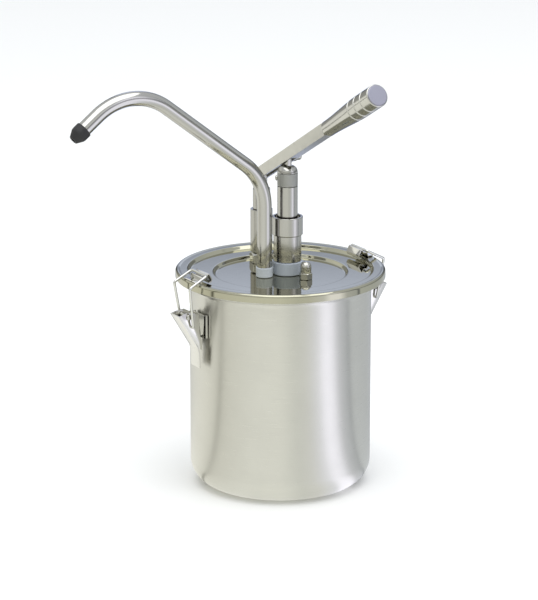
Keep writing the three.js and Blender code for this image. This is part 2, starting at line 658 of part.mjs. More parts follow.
// ---- Assembly ---------------------------------------------------------------------------
const part = new THREE.Group();
part.add(
  piece("can_shell", canShell(), "satin"),
  piece("lid_shell", lidShell(), "polished"),
  piece("lid_gasket", lidGasket(), "seal"),
  piece("head_plate", slab(plateOutline(), PLATE.bottom, PLATE.top, [
    [PUMP.x, PUMP.y, BARREL.r + GAP], [SPOUT.x, SPOUT.y, SPOUT.r + GAP],
    ...CAP_NUTS.map(([, x, y]) => [x, y, STUD_R + GAP]),
  ]), "satin"),
);

// pump column above the lid
part.add(
  piece("pump_collar",
    ring(COLLAR.r, BARREL.r + GAP, DECK + GAP, DECK + COLLAR.height, PUMP), "greyPlastic"),
  piece("pump_sleeve",
    ring(SLEEVE.r, SLEEVE.bore, DECK + COLLAR.height + GAP, SLEEVE.top, PUMP), "polished"),
  piece("gland_ring", gland(), "polished"),
  piece("guide_bush", guideBush(), "whitePlastic"),
  piece("pump_barrel", ring(BARREL.r, BARREL.bore, BARREL.bottom, BARREL.top, PUMP), "satin"),
  piece("barrel_nut", cut(
    hexagon(36, PLATE.bottom - GAP - 9, PLATE.bottom - GAP, PUMP),
    rod(BARREL.r + GAP, 200, 240, PUMP)), "satin"),
  piece("spring_seat",
    ring(BARREL.bore - GAP, ROD_R + GAP, SPRING_SEAT.bottom, SPRING_SEAT.top, PUMP), "whitePlastic"),
);

// foot valve and delivery riser below the lid
const RISER = { bottom: FOOT.top + GAP, top: SPOUT.bottom - GAP };
part.add(
  piece("foot_block", footBlock(), "satin"),
  piece("inlet_ball", ball(INLET.ballR, INLET.ballZ, PUMP), "polished"),
  piece("outlet_ball", ball(OUTLET.ballR, OUTLET.ballZ, SPOUT), "polished"),
  piece("inlet_strainer", strainer(), "whitePlastic"),
  piece("riser_tube", ring(7.5, 5.7, RISER.bottom, RISER.top, SPOUT), "satin"),
  piece("riser_coupling", ring(10.8, SPOUT.r + GAP, 206, PLATE.bottom - GAP, SPOUT), "satin"),
);

// spout
part.add(
  piece("spout_tube", along(spoutRoute(), circleShape(SPOUT.r, 14, SPOUT.bore, 8), 40), "polished"),
  piece("spout_collar",
    ring(SPOUT_COLLAR.r, SPOUT.r + GAP, DECK + GAP, DECK + SPOUT_COLLAR.height, SPOUT), "greyPlastic"),
  piece("spout_nozzle", nozzle(), "rubber"),
);

// studs and cap nuts that hold the pump head to the lid
for (const [name, x, y] of CAP_NUTS) {
  const place = { x, y, segments: 20 };
  part.add(
    piece(`cap_nut_${name}`, capNut(x, y), "polished"),
    piece(`head_stud_${name}`, rod(STUD_R, PLATE.bottom - 3, DECK + 8, place), "satin"),
  );
}

// lever post
part.add(
  piece("post_nut", postNut(), "polished"),
  piece("post_bolt", postBolt(), "satin"),
  piece("post_tube",
    ring(POST_LOWER.r, POST_LOWER.bore, DECK + GAP * 2 + POST_NUT.height, POST_LOWER.top, POST), "polished"),
  piece("post_fork", postUpper(), "polished"),
);

// piston, all the pieces that travel with it
part.add(
  piece("piston_tube",
    ring(PISTON_TUBE.r, PISTON_TUBE.bore, PISTON_TUBE.bottom, PISTON_TUBE.top, PUMP), "polished"),
  piece("knurled_band", band(), "knurl"),
  piece("set_screw", setScrew(), "polished"),
  piece("dome_head", domeHead(), "polished"),
  piece("piston_rod",
    rod(ROD_R, PISTON_HEAD.top - ROD_END, DOME.top - 4.5, { ...PUMP, segments: 20 }), "polished"),
  piece("piston_head", pistonHead(), "satin"),
  piece("piston_seal", ring(BARREL.bore - 0.1, PISTON_HEAD.grooveR + GAP,
    PISTON_HEAD.grooveFrom + GAP, PISTON_HEAD.grooveTo - GAP, PUMP), "rubber"),
  piece("lever_pin", leverPin(), "polished"),
  piece("return_spring", returnSpring(), "satin"),
);

// lever, tilted up about its pivot
const lever = new THREE.Group();
lever.position.set(POST.x, POST.y, PIVOT_Z);
lever.rotation.x = -LEVER_TILT * RAD;
lever.add(
  piece("lever_bar", leverBar(), "satin"),
  piece("hand_grip", grip(), "polished"),
  piece("grip_disc", endDisc(), "disc"),
  piece("pivot_pin", pivotPin(), "polished"),
);
part.add(lever);

// two latches, on the spout side and opposite
for (const [side, turn] of [["left", Math.PI], ["right", 0]]) {
  const latch = new THREE.Group();
  latch.rotation.z = turn;
  latch.add(
    piece(`latch_bracket_${side}`, latchBracket(), "satin"),
    piece(`latch_rivet_${side}`, latchRivet(), "polished"),
    piece(`latch_lever_${side}`, latchLever(), "polished"),
    piece(`latch_bail_${side}`, bail(), "polished"),
    piece(`lid_keeper_${side}`, keeper(), "polished"),
  );
  part.add(latch);
}

export default part;
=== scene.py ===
import json
import math

import bmesh
import bpy
import numpy as np
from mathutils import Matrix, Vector


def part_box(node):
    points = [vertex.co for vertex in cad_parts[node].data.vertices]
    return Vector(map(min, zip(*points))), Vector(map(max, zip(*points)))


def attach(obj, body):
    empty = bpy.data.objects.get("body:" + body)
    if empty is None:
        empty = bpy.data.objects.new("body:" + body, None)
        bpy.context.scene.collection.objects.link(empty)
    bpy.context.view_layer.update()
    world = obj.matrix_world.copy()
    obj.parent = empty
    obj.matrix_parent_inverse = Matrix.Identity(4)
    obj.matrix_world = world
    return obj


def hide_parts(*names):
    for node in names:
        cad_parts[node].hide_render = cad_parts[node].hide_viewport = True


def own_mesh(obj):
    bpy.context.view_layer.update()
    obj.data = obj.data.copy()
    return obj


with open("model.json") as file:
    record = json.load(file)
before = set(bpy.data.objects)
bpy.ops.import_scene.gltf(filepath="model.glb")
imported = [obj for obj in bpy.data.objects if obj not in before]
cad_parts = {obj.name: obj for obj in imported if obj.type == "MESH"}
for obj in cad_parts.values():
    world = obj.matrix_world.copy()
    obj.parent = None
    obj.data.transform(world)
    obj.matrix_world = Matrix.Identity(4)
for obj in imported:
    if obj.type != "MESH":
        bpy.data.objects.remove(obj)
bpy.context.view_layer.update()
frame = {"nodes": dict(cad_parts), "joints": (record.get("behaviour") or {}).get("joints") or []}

# ---------------------------------------------------------------------------------------------
# Can. A deep-drawn 18-8 stainless can with a large base corner, its wall brushed around the
# axis after drawing, and its mouth flared and rolled into a bead that the lid sits on.
# ---------------------------------------------------------------------------------------------
MM = 0.001


def linear(hex_colour):
    """sRGB hex to linear RGBA: each channel c becomes ((c + 0.055) / 1.055) ** 2.4."""
    channels = [int(hex_colour[i:i + 2], 16) / 255 for i in (1, 3, 5)]
    return [c / 12.92 if c < 0.04 else ((c + 0.055) / 1.055) ** 2.4 for c in channels] + [1.0]


def add_node(tree, kind, inputs=None, **properties):
    """Adds a node, sets its properties, and fills or links its inputs by name or number."""
    node = tree.nodes.new(kind)
    for key, value in properties.items():
        setattr(node, key, value)
    for key, value in (inputs or {}).items():
        if isinstance(value, bpy.types.NodeSocket):
            tree.links.new(value, node.inputs[key])
        else:
            node.inputs[key].default_value = value
    return node


def new_material(name, **surface):
    """A material with one Principled shader; surface holds its constant inputs."""
    material = bpy.data.materials.new(name)
    material.use_nodes = True
    tree = material.node_tree
    shader = tree.nodes["Principled BSDF"]
    for key, value in surface.items():
        shader.inputs[key.replace("_", " ")].default_value = value
    return material, tree, shader


def fillet(corners, steps=6):
    """Profile points with rounded corners: each (r, z, radius) in mm gives an arc tangent to
    both neighbouring sides, sampled by angle; radius 0 keeps the corner sharp."""
    pts = np.array([c[:2] for c in corners], float)
    out = []
    for i, (r, z, radius) in enumerate(corners):
        if radius == 0 or i in (0, len(corners) - 1):
            out.append(pts[i])
            continue
        into = pts[i] - pts[i - 1]
        away = pts[i + 1] - pts[i]
        into, away = into / np.linalg.norm(into), away / np.linalg.norm(away)
        turn = math.acos(np.clip(into @ away, -1, 1))
        back = radius * math.tan(turn / 2)
        side = away - (into @ away) * into
        side /= np.linalg.norm(side)
        start = pts[i] - into * back
        centre = start + side * radius
        end = pts[i] + away * back
        a = np.linspace(0, turn, steps + 1)[:, None]
        if np.linalg.norm(start - out[-1]) > 2:
            out.append(start - into * 0.5)
        out.extend(centre - side * radius * np.cos(a) + into * radius * np.sin(a))
        if np.linalg.norm(pts[i + 1] - end) > 2 + corners[i + 1][2]:
            out.append(end + away * 0.5)
    return np.array(out)


def revolve(profile, centre=(0.0, 0.0), n=96, closed=False):
    """Surface of revolution: point (r, z) of the profile at angle t goes to
    (cx + r cos t, cy + r sin t, z). Sizes in mm, centre in metres."""
    profile = np.asarray(profile, float) * MM
    if closed:
        profile = np.vstack([profile, profile[:1]])
    t = np.linspace(0, 2 * np.pi, n, endpoint=False)
    r, z = profile[:, :1], profile[:, 1:]
    x = centre[0] + r * np.cos(t)
    y = centre[1] + r * np.sin(t)
    verts = np.stack([x, y, np.broadcast_to(z, x.shape)], -1).reshape(-1, 3)
    return verts, grid_faces(len(profile), n)


def grid_faces(rows, columns):
    """Quads of a grid whose columns wrap round; row i, column j is vertex i * columns + j."""
    i, j = np.meshgrid(np.arange(rows - 1), np.arange(columns), indexing="ij")
    k = (j + 1) % columns
    quads = np.stack([i * columns + j, i * columns + k,
                      (i + 1) * columns + k, (i + 1) * columns + j], -1)
    return quads.reshape(-1, 4).tolist()


def piece(name, shells, material, body, replaces=(), sharp=35):
    """One object from closed shells (verts, faces): doubles merged, normals outward, edges
    sharper than the given angle kept crisp; it rides on its body and hides its CAD nodes."""
    verts = np.vstack([v for v, _ in shells])
    faces, offset = [], 0
    for v, f in shells:
        faces += [[i + offset for i in face] for face in f]
        offset += len(v)
    mesh = bpy.data.meshes.new(name)
    mesh.from_pydata(verts.tolist(), [], faces)
    bm = bmesh.new()
    bm.from_mesh(mesh)
    bmesh.ops.remove_doubles(bm, verts=bm.verts, dist=2e-6)
    bmesh.ops.dissolve_degenerate(bm, edges=bm.edges, dist=1e-6)
    bmesh.ops.recalc_face_normals(bm, faces=bm.faces)
    bm.to_mesh(mesh)
    bm.free()
    mesh.shade_smooth()
    mesh.set_sharp_from_angle(angle=math.radians(sharp))
    mesh.materials.append(material)
    obj = bpy.data.objects.new(name, mesh)
    bpy.context.scene.collection.objects.link(obj)
    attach(obj, body)
    if replaces:
        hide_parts(*replaces)
    return obj


def brushed_steel(name, colour, low, high, stretch, grain=0.35, depth=0.05, aniso=0.0):
    """Stainless steel ground with an abrasive belt. Long scratches: noise on Object
    coordinates, stretched along the brushing; it sets roughness and a shallow bump."""
    material, tree, shader = new_material(name, Metallic=1.0)
    place = add_node(tree, "ShaderNodeTexCoord")
    mapped = add_node(tree, "ShaderNodeMapping",
                      {"Vector": place.outputs["Object"], "Scale": stretch})
    scratch = add_node(tree, "ShaderNodeTexNoise",
                       {"Vector": mapped.outputs[0], "Scale": 1 / (grain * MM), "Detail": 6.0,
                        "Roughness": 0.65})
    cloud = add_node(tree, "ShaderNodeTexNoise",
                     {"Vector": place.outputs["Object"], "Scale": 28.0, "Detail": 3.0})
    rough = add_node(tree, "ShaderNodeMapRange",
                     {"Value": scratch.outputs[0], "From Min": 0.3, "From Max": 0.7,
                      "To Min": low, "To Max": high})
    tint = add_node(tree, "ShaderNodeMix", data_type="RGBA")
    tree.links.new(cloud.outputs[0], tint.inputs[0])
    base = linear(colour)
    tint.inputs[6].default_value = [c * 0.95 for c in base[:3]] + [1]
    tint.inputs[7].default_value = [min(1, c * 1.04) for c in base[:3]] + [1]
    bump = add_node(tree, "ShaderNodeBump",
                    {"Height": scratch.outputs[0], "Strength": depth, "Distance": 0.1 * MM})
    tree.links.new(tint.outputs[2], shader.inputs["Base Color"])
    tree.links.new(rough.outputs[0], shader.inputs["Roughness"])
    tree.links.new(bump.outputs[0], shader.inputs["Normal"])
    if aniso:
        shader.inputs["Anisotropic"].default_value = aniso
        shader.inputs["Anisotropic Rotation"].default_value = 0.25
        around = add_node(tree, "ShaderNodeTangent", direction_type="RADIAL", axis="Z")
        tree.links.new(around.outputs[0], shader.inputs["Tangent"])
    return material


# the can's satin: scratches run around it, so reflections smear up and down the wall
can_steel = brushed_steel("steel_brushed_around", "#cbcac3", 0.26, 0.4, (0.02, 0.02, 1.0),
                          grain=0.5, depth=0.06, aniso=0.75)
_, can_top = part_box("can_shell")
CAN_R, CAN_SHEET, CORNER, FLARE_Z = 100.0, 1.2, 27.0, 224.8
BEAD_R, BEAD_Z, BEAD = 110.6, can_top.z / MM - 2.4, 2.4


def arc(cx, cz, radius, start, end, steps):
    """Arc in the profile plane: (cx + radius cos a, cz + radius sin a), a in degrees."""
    a = np.radians(np.linspace(start, end, steps + 1))
    return np.stack([cx + radius * np.cos(a), cz + radius * np.sin(a)], 1)


outside = np.vstack([
    [[0, 0]], arc(CAN_R - CORNER, CORNER, CORNER, -90, 0, 26),
    arc(CAN_R + 8, FLARE_Z, 8, 180, 110, 10),
    arc(BEAD_R, BEAD_Z, BEAD, -110, 180, 20)])
inside = np.vstack([
    arc(CAN_R + 8, FLARE_Z, 8 + CAN_SHEET, 110, 180, 10),
    arc(CAN_R - CORNER, CORNER, CORNER - CAN_SHEET, 0, -90, 26), [[0, CAN_SHEET]]])
piece("can_wall", [revolve(np.vstack([outside, inside]), n=256)], can_steel, "root",
      ["can_shell"], sharp=60)

# ---------------------------------------------------------------------------------------------
# Lid. A pressed stainless disc with a rolled rim, two concentric step-downs and a buffed,
# mirror-like face. The pump, the post and the studs pass through punched holes.
# ---------------------------------------------------------------------------------------------
def polished_steel(name, colour, low=0.05, high=0.12, smear=0.012):
    """Buffed stainless steel: nearly a mirror, with faint swirls from the buffing wheel in
    the roughness and a very shallow waviness of the sheet."""
    material, tree, shader = new_material(name, Metallic=1.0, Base_Color=linear(colour))
    place = add_node(tree, "ShaderNodeTexCoord")
    swirl = add_node(tree, "ShaderNodeTexNoise",
                     {"Vector": place.outputs["Object"], "Scale": 55.0, "Detail": 5.0,
                      "Distortion": 0.8})
    rough = add_node(tree, "ShaderNodeMapRange",
                     {"Value": swirl.outputs[0], "From Min": 0.3, "From Max": 0.7,
                      "To Min": low, "To Max": high})
    bump = add_node(tree, "ShaderNodeBump",
                    {"Height": swirl.outputs[0], "Strength": smear, "Distance": 1.0 * MM})
    tree.links.new(rough.outputs[0], shader.inputs["Roughness"])
    tree.links.new(bump.outputs[0], shader.inputs["Normal"])
    return material


lid_mirror = polished_steel("steel_buffed_lid", "#aaa895", 0.03, 0.07, 0.006)
bright_steel = polished_steel("steel_polished", "#b4b3ac", 0.06, 0.13)
lid_low, lid_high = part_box("lid_shell")
LID_R, RIM_TOP, RIM_LOW = lid_high.x / MM, lid_high.z / MM, lid_low.z / MM
STEP_1, STEP_2 = (101.0, 240.0), (73.0, 236.5)
LID_SHEET = 1.2
lid_top_side = fillet([
    (0, STEP_2[1], 0), (STEP_2[0] - 1.2, STEP_2[1], 1.6), (STEP_2[0] + 1.4, STEP_1[1], 1.4),
    (STEP_1[0] - 1.2, STEP_1[1], 1.6), (STEP_1[0] + 1.4, RIM_TOP - 0.4, 1.4),
    (LID_R - 5, RIM_TOP - 0.4, 4), (LID_R - 3.4, RIM_TOP, 1.5), (LID_R, RIM_TOP, 2.9),
    (LID_R, RIM_LOW, 0.9), (LID_R - 2.1, RIM_LOW, 0)], steps=8)
lid_under_side = fillet([
    (LID_R - 2.1, RIM_LOW, 0), (LID_R - 1.5, RIM_LOW + 1.6, 0), (LID_R - 1.3, RIM_TOP - 1.3, 2),
    (STEP_1[0] + 2.4, RIM_TOP - 1.6, 0.8), (STEP_1[0] - 0.6, STEP_1[1] - LID_SHEET, 0.8),
    (STEP_2[0] + 2.3, STEP_1[1] - LID_SHEET, 0.8), (STEP_2[0] - 0.6, STEP_2[1] - LID_SHEET, 0.8),
    (0, STEP_2[1] - LID_SHEET, 0)], steps=5)
lid = piece("lid_disc", [revolve(np.vstack([lid_top_side, lid_under_side[1:]]), n=256)],
            lid_mirror, "root", ["lid_shell"], sharp=50)


def place_of(node):
    """Centre x, y in metres and radius, low z, high z in mm of a node that stands upright."""
    low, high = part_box(node)
    centre = ((low.x + high.x) / 2, (low.y + high.y) / 2)
    return centre, (high.x - low.x) / 2 / MM, low.z / MM, high.z / MM


def punch(obj, holes):
    """Cuts upright round holes, each (centre, radius in mm), through a sheet with one boolean."""
    cutter = bpy.data.meshes.new("punch")
    shells = [revolve([(0, 228), (r, 228), (r, 240), (0, 240)], c, 48) for c, r in holes]
    bm = bmesh.new()
    for verts, faces in shells:
        made = [bm.verts.new(v) for v in verts]
        for face in faces:
            bm.faces.new([made[i] for i in face])
    bmesh.ops.remove_doubles(bm, verts=bm.verts, dist=2e-6)
    bmesh.ops.dissolve_degenerate(bm, edges=bm.edges, dist=1e-6)
    bmesh.ops.recalc_face_normals(bm, faces=bm.faces)
    bm.to_mesh(cutter)
    bm.free()
    tool = bpy.data.objects.new("punch", cutter)
    bpy.context.scene.collection.objects.link(tool)
    change = obj.modifiers.new("holes", "BOOLEAN")
    change.object = tool
    change.operation = "DIFFERENCE"
    change.solver = "EXACT"
    graph = bpy.context.evaluated_depsgraph_get()
    cut_mesh = bpy.data.meshes.new_from_object(obj.evaluated_get(graph))
    obj.modifiers.clear()
    obj.data = cut_mesh
    cut_mesh.set_sharp_from_angle(angle=math.radians(50))
    bpy.data.objects.remove(tool)


pump, barrel_r, _, _ = place_of("pump_barrel")
riser, _, _, _ = place_of("spout_collar")
post, _, _, _ = place_of("post_tube")
studs = [place_of("head_stud_front")[0], place_of("head_stud_rear")[0]]
punch(lid, [(pump, barrel_r + 0.3), (riser, 8.3), (post, 6.3), *[(s, 4.3) for s in studs]])

# ---------------------------------------------------------------------------------------------
# Collars. Two rings turned from grey acetal, one round the pump and one round the spout;
# they seal the holes in the lid. Fine turning marks, matte.
# ---------------------------------------------------------------------------------------------
def moulded_plastic(name, colour, roughness, grit=0.25):
    """Matte plastic: slightly uneven in tone and roughness, with a fine grain of given mm."""
    material, tree, shader = new_material(name, IOR=1.48)
    place = add_node(tree, "ShaderNodeTexCoord")
    grain = add_node(tree, "ShaderNodeTexNoise",
                     {"Vector": place.outputs["Object"], "Scale": 1 / (grit * MM), "Detail": 4.0})
    tone = add_node(tree, "ShaderNodeTexNoise",
                    {"Vector": place.outputs["Object"], "Scale": 90.0, "Detail": 2.0})
    tint = add_node(tree, "ShaderNodeMix", data_type="RGBA")
    base = linear(colour)
    tint.inputs[6].default_value = [c * 0.93 for c in base[:3]] + [1]
    tint.inputs[7].default_value = [min(1, c * 1.06) for c in base[:3]] + [1]
    rough = add_node(tree, "ShaderNodeMapRange",
                     {"Value": grain.outputs[0], "To Min": roughness - 0.08,
                      "To Max": roughness + 0.08})
    bump = add_node(tree, "ShaderNodeBump",
                    {"Height": grain.outputs[0], "Strength": 0.12, "Distance": 0.1 * MM})
    tree.links.new(tone.outputs[0], tint.inputs[0])
    tree.links.new(tint.outputs[2], shader.inputs["Base Color"])
    tree.links.new(rough.outputs[0], shader.inputs["Roughness"])
    tree.links.new(bump.outputs[0], shader.inputs["Normal"])
    return material


grey_acetal = moulded_plastic("acetal_grey", "#a8b0ba", 0.55)


def sleeve_profile(outer, inner, low, high, edge=0.6):
    """Cross-section of a plain ring with eased outer edges, as a closed loop."""
    return fillet([(inner, low, 0), (outer, low, edge), (outer, high, edge), (inner, high, 0),
                   (inner, low, 0)])[:-1]


_, r, z0, z1 = place_of("pump_collar")
collar = sleeve_profile(r, barrel_r + 0.3, z0, z1, 0.9)
piece("pump_collar_ring", [revolve(collar, pump, closed=True)],
      grey_acetal, "root", ["pump_collar"])
_, r, z0, z1 = place_of("spout_collar")
piece("spout_collar_ring", [revolve(sleeve_profile(r, 8.3, z0, z1, 0.8), riser, closed=True)],
      moulded_plastic("acetal_grey_light", "#c0c7ce", 0.5), "root", ["spout_collar"])

# ---------------------------------------------------------------------------------------------
# Pump column. Sleeve, gland ring and travelling piston tube, all turned from stainless bar
# and polished; turning leaves hair-fine rings that show at a glancing angle.
# ---------------------------------------------------------------------------------------------
turned_steel = brushed_steel("steel_turned_polished", "#aaa9a4", 0.1, 0.19, (0.05, 0.05, 1.0),
                             grain=0.6, depth=0.02)
_, r, z0, z1 = place_of("pump_sleeve")
sleeve = fillet([(13.4, z0, 0), (r, z0, 0.5), (r, z0 + 7, 0), (r - 0.25, z0 + 7.15, 0),
                 (r - 0.25, z0 + 7.6, 0), (r, z0 + 7.75, 0), (r, z1, 0.7), (13.4, z1, 0),
                 (13.4, z0, 0)])[:-1]
piece("pump_sleeve_tube", [revolve(sleeve, pump, closed=True)], turned_steel, "root",
      ["pump_sleeve"])
_, r, z0, z1 = place_of("gland_ring")
gland = fillet([(14.2, z0, 0), (r, z0, 0.5), (r, z1, 0.9), (14.3, z1, 0.4), (14.0, z0 + 2, 0),
                (14.2, z0, 0)])[:-1]
piece("gland_cap", [revolve(gland, pump, closed=True)], turned_steel, "root", ["gland_ring"])
_, r, z0, z1 = place_of("piston_tube")
piece("piston_tube_skin", [revolve(sleeve_profile(r, 9.5, z0, z1, 0.3), pump, closed=True)],
      turned_steel, "piston", ["piston_tube"])


def knurl(centre, outer, inner, low, high, teeth=60, rows=9, depth=0.28):
    """Diamond knurl: radius = outer - depth * (1 - |sin(teeth a / 2 + w z)| * |sin(teeth a / 2
    - w z)|), on a fine grid in angle and height; the ends fade to a plain edge."""
    na, nz = teeth * 6, rows * 8
    a = np.linspace(0, 2 * np.pi, na, endpoint=False)
    z = np.linspace(low + 0.5, high - 0.5, nz)
    wave = np.pi * rows * (z - low) / (high - low)
    crest = (np.abs(np.sin(teeth * a / 2 + wave[:, None]))
             * np.abs(np.sin(teeth * a / 2 - wave[:, None])))
    radius = outer - depth * (1 - crest)
    ends = [(inner, low), (outer - 0.6, low), (outer - depth, low + 0.3)]
    tail = [(outer - depth, high - 0.3), (outer - 0.6, high), (inner, high), (inner, low)]
    all_r = np.vstack([np.full((3, na), [[r] for r, _ in ends]), radius,
                       np.full((4, na), [[r] for r, _ in tail])]) * MM
    all_z = np.concatenate([[z for _, z in ends], z, [z for _, z in tail]])[:, None] * MM
    x = centre[0] + all_r * np.cos(a)
    y = centre[1] + all_r * np.sin(a)
    verts = np.stack([x, y, np.broadcast_to(all_z, x.shape)], -1).reshape(-1, 3)
    return verts, grid_faces(len(all_z), na)


# knurled steel: the rolled diamonds scatter light, so the band looks matte and darker
knurled_steel = brushed_steel("steel_knurled", "#a9aaa6", 0.42, 0.6, (1, 1, 1), 0.3, 0.1)
_, r, z0, z1 = place_of("knurled_band")
piece("knurled_grip_band", [knurl(pump, r, 8.5, z0, z1)], knurled_steel, "piston",
      ["knurled_band"], sharp=80)


def sweep_slab(outline, low, high, edge=0.35):
    """A plate: the outline (n, 2) in mm at heights low..high, its rims rounded by moving the
    outline inwards along its corner normals; returned in its own x, y, z."""
    p = np.asarray(outline, float)
    area = np.sum(p[:, 0] * np.roll(p[:, 1], -1) - np.roll(p[:, 0], -1) * p[:, 1])
    p = p if area > 0 else p[::-1]
    d = np.roll(p, -1, 0) - p
    d /= np.linalg.norm(d, axis=1)[:, None]
    n1 = np.stack([d[:, 1], -d[:, 0]], 1)
    n0 = np.roll(n1, 1, 0)
    normal = n0 + n1
    normal /= np.maximum(np.sum(normal * n1, 1), 0.35)[:, None]
    inset = np.array([edge, 0.3 * edge, 0, 0, 0.3 * edge, edge])
    height = np.array([low, low + 0.3 * edge, low + edge, high - edge, high - 0.3 * edge, high])
    rings = p[None] - inset[:, None, None] * normal[None]
    z = np.broadcast_to(height[:, None, None], rings.shape[:2] + (1,))
    verts = np.concatenate([rings, z], -1).reshape(-1, 3)
    n = len(p)
    faces = grid_faces(6, n)
    faces.append(list(range(n))[::-1])
    faces.append([5 * n + i for i in range(n)])
    return verts, faces


def turn_x(shell_part, origin, degrees=0.0):
    """Stands a plate drawn in x, y up in the Y-Z plane: (x, y, z) goes to (z, x, y), then
    turned about X by the angle and moved to origin; mm in, metres out."""
    verts, faces = shell_part
    stood = verts[:, [2, 0, 1]] * MM
    c, s = math.cos(math.radians(degrees)), math.sin(math.radians(degrees))
    turned = np.stack([stood[:, 0], c * stood[:, 1] - s * stood[:, 2],
                       s * stood[:, 1] + c * stood[:, 2]], 1)
    return turned + np.asarray(origin), faces


_, r, z0, _ = place_of("dome_head")
_, pin_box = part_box("lever_pin")
pin_z = (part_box("lever_pin")[0].z + pin_box.z) / 2 / MM
DOME_TOP = 358.5
dome = np.vstack([[[0, 350.3], [r - 0.3, 350.3], [r, 350.7]],
                  arc(r - 8, DOME_TOP - 8, 8, 0, 90, 12), [[0, DOME_TOP]]])
lug_outline = np.vstack([[[-4.3, DOME_TOP - 3], [4.3, DOME_TOP - 3]],
                         arc(0, pin_z, 4.3, 0, 180, 16)])
lug = turn_x(sweep_slab(lug_outline, -2.65, 2.65), (pump[0], pump[1], 0))
spigot = revolve([(0, 335.5), (8.2, 335.5), (8.2, 350.5), (0, 350.5)], pump)
piece("dome_cap", [revolve(dome, pump), lug, spigot], turned_steel, "piston", ["dome_head"])

frame["nodes"]["set_screw"].data.materials.clear()
frame["nodes"]["set_screw"].data.materials.append(bright_steel)

# ---------------------------------------------------------------------------------------------
# Spout. A 16 mm stainless tube bent twice on a mandrel and polished, open at its end under a
# black rubber tip that is pushed over it.
# ---------------------------------------------------------------------------------------------
def rounded_route(corners, radii, step):
    """Centre line of a bent tube: straight runs between corners, each corner replaced by an
    arc of its radius tangent to both runs, sampled about every step mm."""
    corners = np.asarray(corners, float)
    out = [corners[:1]]
    for i, radius in enumerate(radii, 1):
        into = corners[i] - corners[i - 1]
        away = corners[i + 1] - corners[i]
        into, away = into / np.linalg.norm(into), away / np.linalg.norm(away)
        turn = math.acos(np.clip(into @ away, -1, 1))
        start = corners[i] - into * radius * math.tan(turn / 2)
        side = away - (into @ away) * into
        side /= np.linalg.norm(side)
        centre = start + side * radius
        n = max(4, int(radius * turn / step))
        a = np.linspace(0, turn, n + 1)[:, None]
        out.append(centre - side * radius * np.cos(a) + into * radius * np.sin(a))
    out.append(corners[-1:])
    return np.vstack(out)


def tube_along(route, radius, n=48, bore=None):
    """A round section carried along a route with a frame that never twists; with a bore the
    wall goes back along the inside, otherwise both ends are closed by eased caps."""
    route = np.asarray(route, float)
    tangent = np.gradient(route, axis=0)
    tangent[0], tangent[-1] = route[1] - route[0], route[-1] - route[-2]
    tangent /= np.linalg.norm(tangent, axis=1)[:, None]
    u = np.cross(tangent[0], [0.31, 0.95, 0.05])
    frames = []
    for t in tangent:
        u = u - (u @ t) * t
        u = u / np.linalg.norm(u)
        frames.append((u, np.cross(t, u)))
    u = np.array([f[0] for f in frames])[:, None]
    v = np.array([f[1] for f in frames])[:, None]
    a = np.linspace(0, 2 * np.pi, n, endpoint=False)[None, :, None]
    circle = np.cos(a) * u + np.sin(a) * v
    outer = route[:, None] + radius * circle
    if bore:
        inner = route[:, None] + bore * circle
        rows = np.concatenate([outer, inner[::-1], outer[:1]])
    else:
        tip0 = route[:1, None] + 0 * circle[:1] - 0.35 * radius * tangent[0]
        tip1 = route[-1:, None] + 0 * circle[-1:] + 0.35 * radius * tangent[-1]
        rim0 = route[:1, None] + 0.75 * radius * circle[:1] - 0.3 * radius * tangent[0]
        rim1 = route[-1:, None] + 0.75 * radius * circle[-1:] + 0.3 * radius * tangent[-1]
        rows = np.concatenate([tip0, rim0, outer, rim1, tip1])
    return rows.reshape(-1, 3) * MM, grid_faces(len(rows), n)


SPOUT_LOWER, SPOUT_UPPER, SPOUT_SLOPE = (-20.5, 346.7), (-183.0, 471.2), math.radians(37.5)
SPOUT_END, SPOUT_R, SPOUT_BORE = 78, 8.0, 6.5
spout_end = (SPOUT_UPPER[0] - SPOUT_END * math.cos(SPOUT_SLOPE),
             SPOUT_UPPER[1] - SPOUT_END * math.sin(SPOUT_SLOPE))
spout_route = rounded_route(
    [(x, 0, z) for x, z in ((-20.5, 218.0), SPOUT_LOWER, SPOUT_UPPER, spout_end)], (62, 68), 1.6)
spout_steel = brushed_steel("steel_tube_polished", "#b1b0ab", 0.07, 0.15, (1, 1, 1), 0.8, 0.012)
piece("spout_pipe", [tube_along(spout_route, SPOUT_R, 56, bore=SPOUT_BORE)], spout_steel, "root",
      ["spout_tube"])

black_rubber = moulded_plastic("rubber_black", "#202022", 0.55, 0.35)
tip = fillet([(3, -11, 0), (4.8, -11, 0.8), (8.9, -3.6, 1.5), (9.3, -1.2, 1.2), (9.3, 6, 0.6),
              (8.1, 6, 0), (8.1, -0.3, 0), (3, -0.3, 0), (3, -11, 0)])[:-1]
tip_verts, tip_faces = revolve(tip, n=64, closed=True)
lean = math.pi / 2 - SPOUT_SLOPE
tip_verts = tip_verts @ np.array([[math.cos(lean), 0, -math.sin(lean)], [0, 1, 0],
                                  [math.sin(lean), 0, math.cos(lean)]])
tip_verts += np.array([spout_end[0], 0, spout_end[1]]) * MM
piece("nozzle_tip", [(tip_verts, tip_faces)], black_rubber, "root", ["spout_nozzle"])

